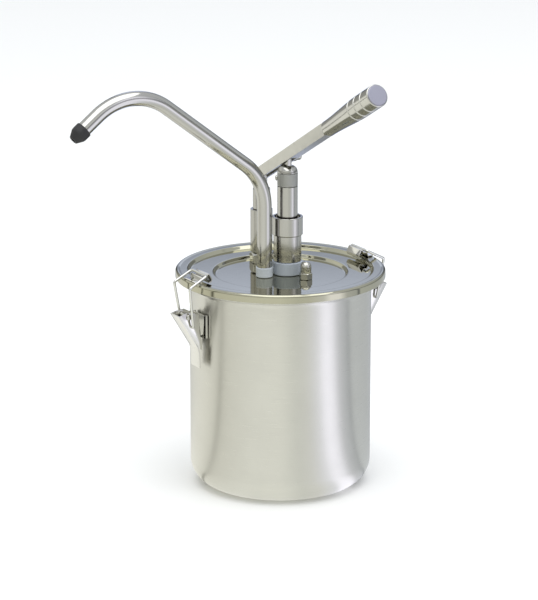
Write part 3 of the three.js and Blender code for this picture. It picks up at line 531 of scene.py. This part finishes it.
# ---------------------------------------------------------------------------------------------
# Nuts. Acorn nuts on the pump's studs and the big hex nut under the lever post, cold formed
# and polished; each hexagon is chamfered by a cone, which leaves curved corners.
# ---------------------------------------------------------------------------------------------
def hex_surface(centre, flats, rows, turn, n=180):
    """Rows of (cone radius, z): the radius at angle a is the smaller of the hexagon's,
    flats / 2 / cos(a mod 60 - 30), and the row's own, so a cone cuts its corners."""
    a = np.linspace(0, 2 * np.pi, n, endpoint=False)
    local = np.mod(a - turn, np.pi / 3) - np.pi / 6
    hexagon = flats / 2 / np.cos(local)
    rows = np.asarray(rows, float)
    radius = np.minimum(rows[:, :1], hexagon[None]) * MM
    x = centre[0] + radius * np.cos(a)
    y = centre[1] + radius * np.sin(a)
    z = np.broadcast_to(rows[:, 1:] * MM, x.shape)
    return np.stack([x, y, z], -1).reshape(-1, 3), grid_faces(len(rows), n)


ACORN_FLATS, POST_FLATS = 13, 24
for side in ("front", "rear"):
    centre, _, z0, z1 = place_of(f"cap_nut_{side}")
    corner = ACORN_FLATS / math.sqrt(3)
    cone = [[corner - 0.9 + 0.9 * k / 6, z0 + 0.55 * k / 6] for k in range(7)]
    crown = [[corner - 1.5 * k / 8, z0 + 6.1 + 0.9 * k / 8] for k in range(9)]
    ball = np.vstack([[[6.1, z0 + 7.1]], arc(0, z1 - 6.1, 6.1, 0, 90, 16)])
    rows = [[0, z0]] + cone + crown + ball.tolist()
    piece(f"acorn_nut_{side}", [hex_surface(centre, ACORN_FLATS, rows, 0.2)], bright_steel, "root",
          [f"cap_nut_{side}"], sharp=28)
centre, _, z0, z1 = place_of("post_nut")
corner = POST_FLATS / math.sqrt(3)
cone = [[corner - 3.2 * k / 14, z1 - 3.4 + 3.0 * k / 14] for k in range(15)]
rows = [[0, z0], [corner - 0.8, z0], [corner, z0 + 0.5], *cone, [corner - 3.6, z1], [0, z1]]
piece("post_hex_nut", [hex_surface(post, POST_FLATS, rows, 0.3)], bright_steel, "root", ["post_nut"],
      sharp=28)

# ---------------------------------------------------------------------------------------------
# Lever post. A stepped stainless column with a flat tongue that carries the lever's pivot.
# ---------------------------------------------------------------------------------------------
_, r, z0, z1 = place_of("post_tube")
piece("post_lower_tube", [revolve(sleeve_profile(r, 6.5, z0, z1, 0.6), post, closed=True)],
      turned_steel, "root", ["post_tube"])
_, r, z0, _ = place_of("post_fork")
pivot = np.array(next(j for j in frame["joints"] if j["name"] == "lever_press")["pos_m"])
POST_TOP = 322.0
post_tip = fillet([(0, z0, 0), (r, z0, 0.4), (r, POST_TOP, 2.2), (0, POST_TOP, 0)])
tongue = np.vstack([[[-7, POST_TOP - 4], [7, POST_TOP - 4]],
                    arc(0, pivot[2] / MM - 1, 7, 0, 180, 20)])
piece("post_upper_tongue", [revolve(post_tip, post),
                            turn_x(sweep_slab(tongue, -3.5, 3.5), (post[0], post[1], 0))],
      turned_steel, "root", ["post_fork"])

# ---------------------------------------------------------------------------------------------
# Lever. A flat-sided satin bar, slotted underneath for the post and the pump's lug, with a
# polished conical grip pressed on and a matte disc set in the grip's end.
# ---------------------------------------------------------------------------------------------
TILT = 29.3


def lever_frame(shell_part):
    """From the level lever, grip towards -Y and pivot at the origin (mm), to its raised rest:
    turned about X by minus the tilt and moved to the pivot."""
    verts, faces = shell_part
    c, s = math.cos(math.radians(-TILT)), math.sin(math.radians(-TILT))
    v = verts * MM
    turned = np.stack([v[:, 0], c * v[:, 1] - s * v[:, 2], s * v[:, 1] + c * v[:, 2]], 1)
    return turned + pivot, faces


bar_steel = brushed_steel("steel_bar_satin", "#c2c1ba", 0.3, 0.42, (1.0, 0.06, 0.06), 0.5, 0.05)
bar = frame["nodes"]["lever_bar"]
bar_mesh = bar.data.copy()
bar_copy = bpy.data.objects.new("lever_arm", bar_mesh)
bpy.context.scene.collection.objects.link(bar_copy)
bar_copy.data.materials.clear()
bar_copy.data.materials.append(bar_steel)
bm = bmesh.new()
bm.from_mesh(bar_mesh)
bmesh.ops.remove_doubles(bm, verts=bm.verts, dist=1e-6)
bmesh.ops.dissolve_limit(bm, angle_limit=math.radians(1.0), verts=bm.verts, edges=bm.edges)
bm.to_mesh(bar_mesh)
bm.free()
ease = bar_copy.modifiers.new("eased edges", "BEVEL")
ease.width = 0.45 * MM
ease.segments = 2
ease.limit_method = "ANGLE"
ease.angle_limit = math.radians(35)
bar_mesh.shade_smooth()
bar_mesh.set_sharp_from_angle(angle=math.radians(50))
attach(bar_copy, "lever")
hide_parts("lever_bar")

GRIP_FROM, GRIP_TO, GRIP_SMALL, GRIP_LARGE = 158.3, 268.0, 9.0, 12.45
GROOVES = (16, 30, 44)


def swell(d):
    """Grip radius at distance d along it: a smooth S-step from the small to the large end."""
    t = np.clip((d - GRIP_FROM) / (0.72 * (GRIP_TO - GRIP_FROM)), 0, 1)
    return GRIP_SMALL + (GRIP_LARGE - GRIP_SMALL) * t * t * (3 - 2 * t)


d = np.unique(np.concatenate([np.linspace(GRIP_FROM + 1.2, GRIP_TO - 1, 90),
                              *[np.linspace(GRIP_TO - g - 2, GRIP_TO - g + 2, 25)
                                for g in GROOVES]]))
groove = sum(np.exp(-((d - (GRIP_TO - g)) / 0.75) ** 4) for g in GROOVES)
side = np.stack([swell(d) - 0.8 * groove, d], 1)
grip_outline = np.vstack([[[4.8, GRIP_FROM], [7.9, GRIP_FROM], [8.7, GRIP_FROM + 0.4]], side,
                          fillet([(GRIP_LARGE, GRIP_TO - 1, 0), (GRIP_LARGE, GRIP_TO, 0.9),
                                  (11.5, GRIP_TO, 0)])[1:],
                          [[11.5, GRIP_TO - 2.3], [0, GRIP_TO - 2.3], [0, GRIP_FROM + 62],
                           [4.8, GRIP_FROM + 62], [4.8, GRIP_FROM]]])


def along_lever(profile, n=96):
    """A body turned about the lever's own axis: radius r at distance d along it."""
    verts, faces = revolve(profile, n=n)
    verts = verts / MM
    return lever_frame((np.stack([verts[:, 0], -verts[:, 2], verts[:, 1]], 1), faces))


grip_steel = brushed_steel("steel_grip_polished", "#c0bfb9", 0.1, 0.19, (0.05, 0.05, 1.0),
                           grain=0.6, depth=0.02)
piece("grip_cone", [along_lever(grip_outline)], grip_steel, "lever", ["hand_grip"],
      sharp=40)
# sand-blasted aluminium: cool, slightly lilac grey, no clear reflection
disc_metal = brushed_steel("aluminium_blasted", "#a0a0ac", 0.42, 0.55, (1, 1, 1), 0.4, 0.12)
disc = fillet([(0, GRIP_TO - 1.9, 0), (11.3, GRIP_TO - 1.9, 0), (11.3, GRIP_TO + 1.1, 0.8),
               (0, GRIP_TO + 1.1, 0)])
piece("grip_end_disc", [along_lever(disc)], disc_metal, "lever", ["grip_disc"])


def cross_pin(origin, radius, half, head_r, head_t, n=48):
    """A pin along X with a domed head at each end: a revolved profile laid on its side."""
    profile = fillet([(0, -half - head_t, 0), (head_r, -half - head_t, head_t * 0.8),
                      (head_r, -half, 0), (radius, -half, 0), (radius, half, 0), (head_r, half, 0),
                      (head_r, half + head_t, head_t * 0.8), (0, half + head_t, 0)])
    verts, faces = revolve(profile, n=n)
    return verts[:, [2, 0, 1]] + np.asarray(origin), faces


piece("lever_pivot_pin", [cross_pin(pivot, 3.0, 6.8, 4.4, 1.8)], bright_steel, "lever",
      ["pivot_pin"])
low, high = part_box("lever_pin")
pin_centre = np.array([0, (low.y + high.y) / 2, (low.z + high.z) / 2])
seat = pump[0] / MM + 6.8
head = fillet([(0, seat, 0), (5, seat, 0.3), (5, seat + 3, 0.5), (4.3, seat + 3, 0),
               (4.3, high.x / MM, 2.6), (0, high.x / MM, 0)])
shank = fillet([(0, low.x / MM, 0), (2.5, low.x / MM, 0.3), (2.5, seat + 1, 0), (0, seat + 1, 0)])
pin_shells = []
for profile in (head, shank):
    verts, faces = revolve(profile, n=48)
    pin_shells.append((verts[:, [2, 0, 1]] + pin_centre, faces))
piece("pump_lug_screw", pin_shells, bright_steel, "piston", ["lever_pin"])

# ---------------------------------------------------------------------------------------------
# Latches. Each is a folded stainless channel lever riveted between two ears of a tray that is
# spot-welded to the can, a sprung wire bail, and a hook plate on the lid. Bright rolled sheet.
# ---------------------------------------------------------------------------------------------
RIVET, EYE = np.array([121.5, 207.0]), np.array([118.0, 195.6])
CHANNEL_HALF, SHEET = 9.5, 1.2
HOOK_WIDTH, WIRE = 25, 1.5
TRAY_HALF, TRAY_LOW, TRAY_HIGH, TRAY_FACE = 13, 181, 207, 104


def sheet_strip(line, thickness, width, edge=0.25):
    """Bent sheet: a centre line in X-Z gets half the thickness on each side along its normals,
    and the outline is carried across the width in Y."""
    p = np.asarray(line, float)
    t = np.gradient(p, axis=0)
    t /= np.linalg.norm(t, axis=1)[:, None]
    n = np.stack([-t[:, 1], t[:, 0]], 1) * thickness / 2
    verts, faces = sweep_slab(np.vstack([p + n, (p - n)[::-1]]), -width / 2, width / 2, edge)
    return verts[:, [0, 2, 1]], faces


def upright_plate(outline, y0, y1, edge=0.3):
    """A plate drawn in X-Z and standing between y0 and y1."""
    verts, faces = sweep_slab(outline, y0, y1, edge)
    return verts[:, [0, 2, 1]], faces


def latch_side(shell_part, sign):
    """From the latch's own frame (mm, +X away from the can) to its side of the can."""
    verts, faces = shell_part
    return verts * MM * np.array([sign, sign, 1.0]), faces


def box_shell(x0, x1, y0, y1, z0, z1, edge=0.3):
    """A block with eased upright rims."""
    return sweep_slab([(x0, y0), (x1, y0), (x1, y1), (x0, y1)], z0, z1, edge)


latch_steel = polished_steel("steel_rolled_bright", "#d6d5d0", 0.09, 0.2, 0.03)
wire_steel = polished_steel("steel_wire_drawn", "#cfcfca", 0.12, 0.24, 0.02)
cheek = [(133.2, 209.3), (129.5, 210.4), (126.8, 211.2), (123, 211.6), (117, 211.8), (112, 209.2),
         (109, 207.4), (106.9, 188), (104.7, 167.4), (109.4, 169.5)]
face_line = rounded_route(
    [(133.6, 0, 209.4), (110.2, 0, 171.2), (108.3, 0, 163.5), (107.8, 0, 147.5)],
    (9, 9), 0.8)[:, [0, 2]]
ear = np.vstack([[[103, 184], [107, 184], [RIVET[0] + 2, RIVET[1] - 4.6]],
                 arc(*RIVET, 4.6, -60, 120, 14), [[107, 208], [103, 206]]])
keeper_line = rounded_route(
    [(113, 0, 244.9), (106.6, 0, 244.9), (105.2, 0, 249.3), (100.6, 0, 249.4), (98.3, 0, 254.4),
     (94.2, 0, 246.6), (95.2, 0, 243.9), (98, 0, 243.6)],
    (0.9, 0.9, 1.3, 1.2, 1.6, 0.8), 0.3)[:, [0, 2]]

for side, sign in (("left", -1.0), ("right", 1.0)):
    lever_shells = [sheet_strip(face_line, SHEET, 2 * CHANNEL_HALF),
                    upright_plate(cheek, CHANNEL_HALF - SHEET, CHANNEL_HALF),
                    upright_plate(cheek, -CHANNEL_HALF, -CHANNEL_HALF + SHEET)]
    piece(f"latch_channel_{side}", [latch_side(s, sign) for s in lever_shells], latch_steel,
          f"{side}_latch", [f"latch_lever_{side}"])
    wall_x = math.sqrt(CAN_R ** 2 - TRAY_HALF ** 2) + 1.1
    tray = [box_shell(102.6, TRAY_FACE, -TRAY_HALF, TRAY_HALF, TRAY_LOW, TRAY_HIGH),
            box_shell(wall_x, TRAY_FACE, -TRAY_HALF, -11.8, TRAY_LOW, TRAY_HIGH),
            box_shell(wall_x, TRAY_FACE, 11.8, TRAY_HALF, TRAY_LOW, TRAY_HIGH),
            upright_plate(ear, 6.0, 7.2), upright_plate(ear, -7.2, -6.0)]
    piece(f"latch_tray_{side}", [latch_side(s, sign) for s in tray], latch_steel, "root",
          [f"latch_bracket_{side}"])
    pin_profile = fillet([(0, -11.4, 0), (3.2, -11.4, 1.3), (3.2, -9.8, 0), (2.5, -9.8, 0),
                          (2.5, 9.8, 0), (3.2, 9.8, 0), (3.2, 11.4, 1.3), (0, 11.4, 0)])
    verts, faces = revolve(pin_profile, n=40)
    rivet = (verts[:, [0, 2, 1]] / MM + np.array([RIVET[0], 0, RIVET[1]]), faces)
    piece(f"latch_rivet_pin_{side}", [latch_side(rivet, sign)], bright_steel, "root",
          [f"latch_rivet_{side}"])
    half = [(EYE[0], 7.9, EYE[1]), (EYE[0], 13, EYE[1]), (124.5, 17, 241), (102.6, 16, 252.2)]
    corners = [(x, -y, z) for x, y, z in half] + half[::-1]
    verts, faces = tube_along(rounded_route(corners, (2.2, 3, 2.6, 2.6, 3, 2.2), 0.6), WIRE, 20)
    piece(f"wire_bail_{side}", [latch_side((verts / MM, faces), sign)], wire_steel,
          f"{side}_bail", [f"latch_bail_{side}"])
    hook = sheet_strip(keeper_line, SHEET, HOOK_WIDTH)
    piece(f"lid_hook_{side}", [latch_side(hook, sign)], latch_steel, "root",
          [f"lid_keeper_{side}"])

# ---------------------------------------------------------------------------------------------
# Inside parts. The pieces below the lid keep their CAD shapes: satin steel, white acetal, a
# pale silicone gasket and a black piston seal.
# ---------------------------------------------------------------------------------------------
inner_steel = brushed_steel("steel_inside_satin", "#bdbcb6", 0.28, 0.4, (0.1, 0.1, 1.0), 0.5, 0.04)
white_acetal = moulded_plastic("acetal_white", "#e4e1d8", 0.45)
silicone = moulded_plastic("silicone_seal", "#c3bdae", 0.6)
INSIDE = {
    inner_steel: ("head_plate", "pump_barrel", "barrel_nut", "foot_block", "riser_tube",
                  "riser_coupling", "head_stud_front", "head_stud_rear", "post_bolt",
                  "piston_head"),
    bright_steel: ("inlet_ball", "outlet_ball", "piston_rod"),
    white_acetal: ("guide_bush", "spring_seat", "inlet_strainer"),
    silicone: ("lid_gasket",),
    black_rubber: ("piston_seal",),
}
for material, names in INSIDE.items():
    for name in names:
        mesh = frame["nodes"][name].data
        mesh.materials.clear()
        mesh.materials.append(material)

# the return spring, wound from stainless wire: it stands on its seat under the piston tube and is
# drawn at one length, not pressed shorter as the lever comes down
centre, r, z0, z1 = place_of("return_spring")
WIRE_R, TURNS = 0.9, 10
t = np.linspace(0, 2 * np.pi * TURNS, 36 * TURNS + 1)
rise = np.clip((t / (2 * np.pi) - 0.5) / (TURNS - 1), 0, 1)
coil = np.stack([centre[0] / MM + (r - WIRE_R) * np.cos(t),
                 centre[1] / MM + (r - WIRE_R) * np.sin(t),
                 z0 + WIRE_R + (z1 - z0 - 2 * WIRE_R) * rise], 1)
spring = piece("return_spring_coil", [tube_along(coil, WIRE_R * 0.97, 12)], inner_steel, "root",
               ["return_spring"])
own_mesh(spring)

# ---------------------------------------------------------------------------------------------
# Studio. A pale floor that glows to reflection rays with a painted reflection of the room's
# columns, a room whose brightness changes with bearing and so draws the streaks on the polished
# steel, and one soft panel overhead.
# ---------------------------------------------------------------------------------------------
VIEW_TURN, VIEW_RISE, DISTANCE = math.radians(31.0), math.radians(15.85), 3.5
RIGHT = np.array([math.cos(VIEW_TURN), -math.sin(VIEW_TURN), 0])
FORWARD = np.array([math.sin(VIEW_TURN), math.cos(VIEW_TURN), 0])


def stage_mesh(name, verts, faces, material):
    mesh = bpy.data.meshes.new(name)
    mesh.from_pydata(np.asarray(verts).tolist(), [], faces)
    mesh.materials.append(material)
    obj = bpy.data.objects.new(name, mesh)
    bpy.context.scene.collection.objects.link(obj)
    return obj


# The room round the object, as brightness by compass bearing seen from the can. Bearings are
# in degrees from the camera, positive to its right; strips and dark flags give the polished
# steel its streaks, and a cool wall behind the can is what the lid mirrors.
ROOM = [(-180, "#c8d1ec", 1.6), (-171, "#c8d1ec", 1.6), (-166, "#6d7278", 0.3),
        (-156, "#e2e3e0", 1.05), (-120, "#e6e6e0", 1.45), (-100, "#e6e6df", 1.5),
        (-78, "#dadad2", 1.45), (-76, "#a4a49a", 0.75), (-74.5, "#a4a49a", 0.75),
        (-72.5, "#e0e0d8", 1.4), (-30, "#e7e8e2", 1.48), (0, "#e5e6e0", 1.52),
        (18, "#dddfda", 1.38), (30, "#dedfdc", 1.42), (45, "#e4e6ee", 1.5),
        (53, "#f2f2ff", 1.9), (64, "#f2f2ff", 1.85), (73, "#ced0d8", 1.45),
        (87, "#bcc0c6", 1.5), (89, "#989ca4", 0.95), (90.5, "#989ca4", 0.95),
        (92.5, "#c2c6ca", 1.6), (134, "#c4c8cc", 1.25), (154, "#d0d5dc", 1.05),
        (166, "#6d7278", 0.3), (171, "#c8d1ec", 1.6), (180, "#c8d1ec", 1.6)]


def room_colour(tree, direction):
    """Colour of the room at a direction's bearing, atan2(across, towards the camera)."""
    ahead = add_node(tree, "ShaderNodeVectorMath", {0: direction, 1: list(-FORWARD)},
                     operation="DOT_PRODUCT")
    aside = add_node(tree, "ShaderNodeVectorMath", {0: direction, 1: list(RIGHT)},
                     operation="DOT_PRODUCT")
    bearing = add_node(tree, "ShaderNodeMath",
                       {0: aside.outputs["Value"], 1: ahead.outputs["Value"]},
                       operation="ARCTAN2")
    share = add_node(tree, "ShaderNodeMapRange",
                     {"Value": bearing.outputs[0], "From Min": -math.pi, "From Max": math.pi})
    ramp = add_node(tree, "ShaderNodeValToRGB", {0: share.outputs[0]})
    stops = ramp.color_ramp.elements
    for i, (angle, colour, level) in enumerate(ROOM):
        stop = stops[0] if i == 0 else stops[len(stops) - 1] if i == len(ROOM) - 1 else stops.new(
            (angle + 180) / 360)
        stop.position = (angle + 180) / 360
        stop.color = [c * level for c in linear(colour)[:3]] + [1]
    return ramp.outputs[0]


# white paint to the camera; to reflection rays the floor glows with the room's columns instead,
# a painted reflection that mirror-like steel sees in it, as in a glossy sweep
floor_paint_and_reflection_glow, tree, shader = new_material("floor_white_paint_reflection_glow", Base_Color=linear("#f6f6f4"),
                                         Roughness=0.9)
where = add_node(tree, "ShaderNodeTexCoord").outputs["Object"]
# the glow is the painted reflection: emission in the room's colours, shown to glossy rays only
glow = add_node(tree, "ShaderNodeEmission", {0: room_colour(tree, where)})
path = add_node(tree, "ShaderNodeLightPath")
both = add_node(tree, "ShaderNodeMixShader", {0: path.outputs["Is Glossy Ray"],
                                              1: shader.outputs[0], 2: glow.outputs[0]})
tree.links.new(both.outputs[0], tree.nodes["Material Output"].inputs[0])
stage_mesh("studio_floor", [(-9, -9, 0), (9, -9, 0), (9, 9, 0), (-9, 9, 0)], [(0, 1, 2, 3)],
           floor_paint_and_reflection_glow)

world = bpy.data.worlds.new("studio_room")
bpy.context.scene.world = world
world.use_nodes = True
tree = world.node_tree
toward = add_node(tree, "ShaderNodeTexCoord").outputs["Generated"]
height = add_node(tree, "ShaderNodeSeparateXYZ", {0: toward})
# a darker skirting runs round the room up to 15 degrees, and above 20 it opens to the ceiling
skirting = add_node(tree, "ShaderNodeMapRange",
                    {"Value": height.outputs[2], "From Min": 0.256, "From Max": 0.276,
                     "To Min": 0.45, "To Max": 1.0})
wall = add_node(tree, "ShaderNodeVectorMath", {0: room_colour(tree, toward)}, operation="SCALE")
tree.links.new(skirting.outputs[0], wall.inputs["Scale"])
up = add_node(tree, "ShaderNodeMapRange",
              {"Value": height.outputs[2], "From Min": 0.36, "From Max": 0.75})
ceiling = add_node(tree, "ShaderNodeMix", {0: up.outputs[0], 6: wall.outputs[0]},
                   data_type="RGBA")
ceiling.inputs[7].default_value = linear("#eef1f6")
tree.links.new(ceiling.outputs[2], tree.nodes["Background"].inputs[0])
tree.nodes["Background"].inputs[1].default_value = 1.0


def panel(name, turn, rise, distance, width, height, watts, colour):
    """An area light aimed at the lid from an angle measured from the camera's own bearing."""
    lamp = bpy.data.lights.new(name, "AREA")
    lamp.shape = "RECTANGLE"
    lamp.size, lamp.size_y = width, height
    lamp.energy = watts
    lamp.color = linear(colour)[:3]
    obj = bpy.data.objects.new(name, lamp)
    t, e = math.radians(turn), math.radians(rise)
    back = -FORWARD * math.cos(t) + RIGHT * math.sin(t)
    where = np.array([0, 0, 0.25]) + distance * (back * math.cos(e) + np.array([0, 0, math.sin(e)]))
    obj.location = where
    obj.rotation_euler = Vector(np.array([0, 0, 0.25]) - where).to_track_quat("-Z", "Y").to_euler()
    bpy.context.scene.collection.objects.link(obj)


panel("overhead", 20, 78, 3.0, 3.5, 3.5, 70, "#ffffff")
bpy.context.scene.view_settings.view_transform = "Standard"

camera = bpy.data.cameras.new("camera")
camera.sensor_fit = "VERTICAL"
camera.sensor_height = 36
camera.lens = 36 * 3174 / 600
camera_object = bpy.data.objects.new("camera", camera)
bpy.context.scene.collection.objects.link(camera_object)
aim_point = RIGHT * -0.01255 + np.array([0, 0, 0.2066])
back = -FORWARD * math.cos(VIEW_RISE) + np.array([0, 0, math.sin(VIEW_RISE)])
camera_object.location = aim_point + DISTANCE * back
camera_object.rotation_euler = Vector(-back).to_track_quat("-Z", "Y").to_euler()
bpy.context.scene.camera = camera_object
